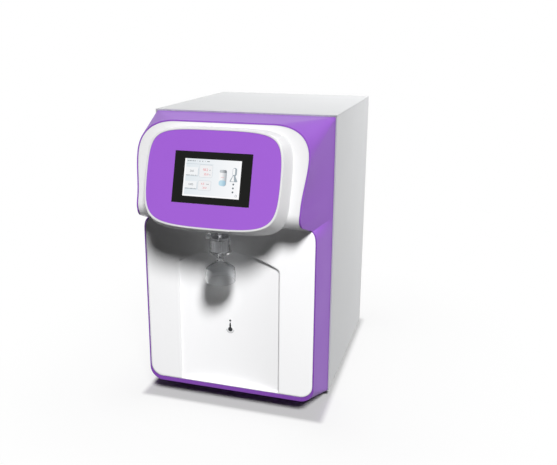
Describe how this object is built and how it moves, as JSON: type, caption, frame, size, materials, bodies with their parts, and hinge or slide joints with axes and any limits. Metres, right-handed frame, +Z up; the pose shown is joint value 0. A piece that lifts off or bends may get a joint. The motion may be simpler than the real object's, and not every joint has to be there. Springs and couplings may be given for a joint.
{
  "type": "ultrapure water system",
  "caption": "Benchtop water purifier with a tilted touch-screen head, a capsule filter outlet over a recessed front and a hinged service door.",
  "frame": {"origin": "middle of the footprint at the underside of the feet", "axes": "+Z up, front towards -Y, +X to the right when facing the front"},
  "size_m": [0.3234, 0.5376, 0.511],
  "materials": {
    "case_paint": "light grey powder coat",
    "plain_steel": "zinc plated sheet",
    "screw_steel": "plated fasteners",
    "lamp_steel": "polished stainless tube",
    "bezel_plastic": "purple satin-gloss moulding",
    "overlay_film": "purple printed film",
    "white_plastic": "white gloss moulding",
    "black_plastic": "black moulding",
    "display_glass": "lit display",
    "board": "circuit board",
    "rubber": "black rubber",
    "clear_plastic": "clear moulding",
    "filter_white": "white moulding",
    "vent_plastic": "pale moulding",
    "motor_paint": "black enamel",
    "pump_plastic": "black glass-filled moulding",
    "magnet": "white magnet catch",
    "cap_plastic": "grey moulding",
    "valve_plastic": "white moulding",
    "coil_plastic": "black coil moulding",
    "port_plastic": "grey acetal",
    "collet_blue": "blue acetal",
    "collet_grey": "grey acetal",
    "head_plastic": "blue moulding",
    "cartridge_plastic": "white moulding",
    "tube_plastic": "natural polyethylene"
  },
  "bodies": {
    "cabinet": {"base_tray": "case_paint", "top_cover": "case_paint", "left_panel": "case_paint", "rear_panel": "case_paint", "front_frame": "plain_steel", "rubber_feet": "rubber", "foot_screws": "screw_steel", "pan_screws": "screw_steel", "hinge_pins": "plain_steel", "magnet_catches": "magnet", "front_bezel": "bezel_plastic", "head_surround": "white_plastic", "lower_panel": "white_plastic", "display_pod": "white_plastic", "pod_overlay": "overlay_film", "screen_frame": "black_plastic", "display_panel": "display_glass", "display_board": "board", "outlet_fitting": "filter_white", "cartridge_bracket": "plain_steel", "booster_pump_motor": "motor_paint", "booster_pump_head": "pump_plastic", "pump_cradle": "plain_steel", "pump_mounts": "rubber", "circulation_pump": "motor_paint", "lamp_chamber": "lamp_steel", "lamp_caps": "cap_plastic", "lamp_clips": "plain_steel", "valve_bodies": "valve_plastic", "valve_coils": "coil_plastic", "power_supply": "plain_steel", "main_board": "board", "port_bodies": "port_plastic", "port_nuts": "port_plastic", "mains_inlet": "black_plastic", "switch_frame": "black_plastic", "pretreatment_head": "head_plastic", "osmosis_head": "head_plastic", "polishing_head": "head_plastic", "tube_feed": "tube_plastic", "tube_pressure": "tube_plastic", "cartridge_links": "tube_plastic", "tube_polished": "tube_plastic", "tube_lamp": "tube_plastic", "tube_outlet": "tube_plastic"},
    "door": {"service_door": "case_paint"},
    "filter": {"filter_cap": "filter_white", "filter_grip": "clear_plastic", "filter_membrane": "filter_white", "filter_bell": "clear_plastic"},
    "vent": {"vent_knob": "vent_plastic"},
    "fuse": {"fuse_drawer": "black_plastic"},
    "rocker": {"rocker_switch": "black_plastic"},
    "pretreatment": {"pretreatment_cartridge": "cartridge_plastic"},
    "osmosis": {"osmosis_cartridge": "cartridge_plastic"},
    "polishing": {"polishing_cartridge": "cartridge_plastic"},
    "feed_release": {"feed_collet": "collet_blue"},
    "drain_release": {"drain_collet": "collet_grey"},
    "tank_release": {"tank_collet": "collet_grey"},
    "recirculation_release": {"recirculation_collet": "collet_grey"}
  },
  "joints": [
    {"name": "door_hinge", "type": "hinge", "parent": "cabinet", "child": "door", "pos_m": [0.1562, 0.24097, 0.261], "axis": [0, 0, 1], "range_deg": [0, 100]},
    {"name": "filter_pull", "type": "slide", "parent": "cabinet", "child": "filter", "axis": [0, 0, -1], "range_m": [0, 0.012]},
    {"name": "vent_turn", "type": "hinge", "parent": "filter", "child": "vent", "pos_m": [-0.0172, -0.21253, 0.3245], "axis": [-1, 0, 0], "range_deg": [0, 360]},
    {"name": "pretreatment_twist", "type": "hinge", "parent": "cabinet", "child": "pretreatment", "pos_m": [0.104, -0.03403, 0.211], "axis": [0, 0, 1], "range_deg": [0, 90]},
    {"name": "osmosis_twist", "type": "hinge", "parent": "cabinet", "child": "osmosis", "pos_m": [0.104, 0.06397, 0.211], "axis": [0, 0, 1], "range_deg": [0, 90]},
    {"name": "polishing_twist", "type": "hinge", "parent": "cabinet", "child": "polishing", "pos_m": [0.104, 0.16197, 0.211], "axis": [0, 0, 1], "range_deg": [0, 90]},
    {"name": "feed_press", "type": "slide", "parent": "cabinet", "child": "feed_release", "axis": [0, -1, 0], "range_m": [0, 0.0014], "stiffness_N_per_m": 800},
    {"name": "drain_press", "type": "slide", "parent": "cabinet", "child": "drain_release", "axis": [0, -1, 0], "range_m": [0, 0.0014], "stiffness_N_per_m": 800},
    {"name": "tank_press", "type": "slide", "parent": "cabinet", "child": "tank_release", "axis": [0, -1, 0], "range_m": [0, 0.0014], "stiffness_N_per_m": 800},
    {"name": "recirculation_press", "type": "slide", "parent": "cabinet", "child": "recirculation_release", "axis": [0, -1, 0], "range_m": [0, 0.0014], "stiffness_N_per_m": 800},
    {"name": "fuse_slide", "type": "slide", "parent": "cabinet", "child": "fuse", "axis": [0, 1, 0], "range_m": [0, 0.016]},
    {"name": "rocker_tilt", "type": "hinge", "parent": "cabinet", "child": "rocker", "pos_m": [-0.066, 0.24547, 0.073], "axis": [-1, 0, 0], "range_deg": [0, 22]}
  ]
}
